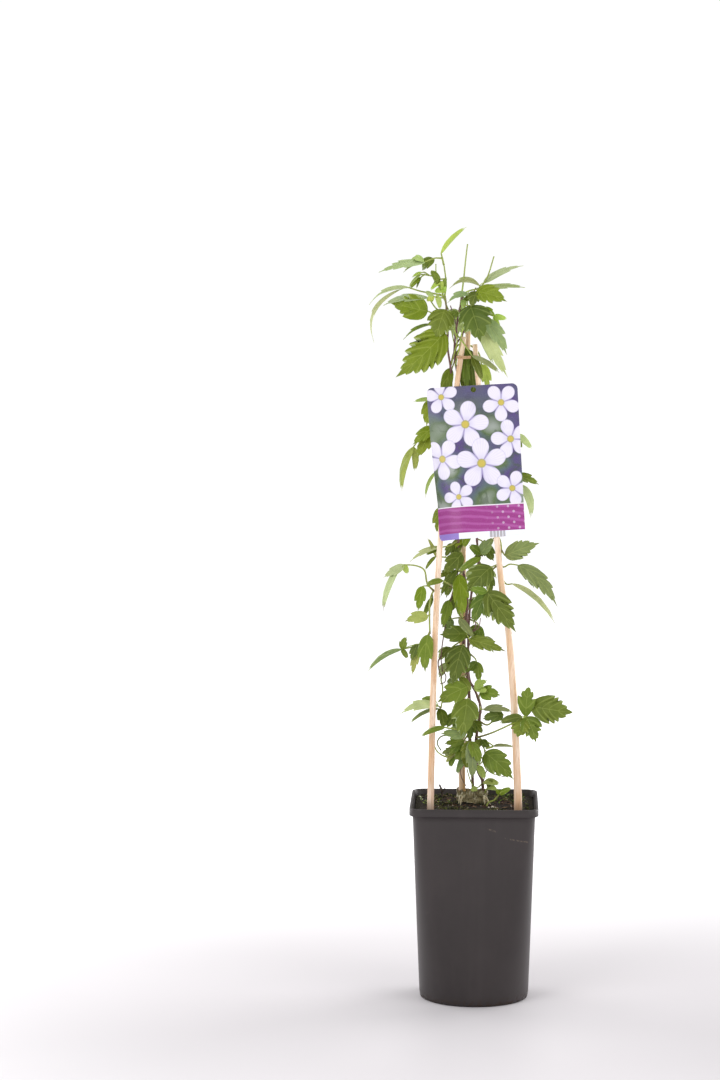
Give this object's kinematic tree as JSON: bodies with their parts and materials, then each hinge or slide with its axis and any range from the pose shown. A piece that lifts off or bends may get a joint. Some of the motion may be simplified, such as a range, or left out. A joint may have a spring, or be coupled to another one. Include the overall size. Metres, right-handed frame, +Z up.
{
  "type": "potted clematis on a cane trellis",
  "caption": "Climbing clematis with threefold leaves, tied up canes in a square black nursery pot, with a picture label.",
  "frame": {"origin": "centre of the pot's base, on the surface it stands on", "axes": "+Z up along the canes, -Y towards the viewer and the label, +X to the viewer's right"},
  "size_m": [0.2183, 0.1378, 0.825],
  "materials": {
    "pot": "matte black moulded plastic",
    "soil": null,
    "cane": "pale bamboo",
    "tie": "brown tie",
    "card": "printed semi-gloss sheet",
    "band": "translucent olive tape",
    "twig": "dead bark",
    "leaf": null
  },
  "bodies": {
    "root": {"pot": "pot", "soil": "soil", "cane_left": "cane", "cane_right": "cane", "cane_rear": "cane", "cane_tie": "tie", "card": "card", "base_band": "band", "dead_twig": "twig", "vine_left": "leaf", "vine_right": "leaf", "sprout": "leaf"}
  },
  "joints": []
}
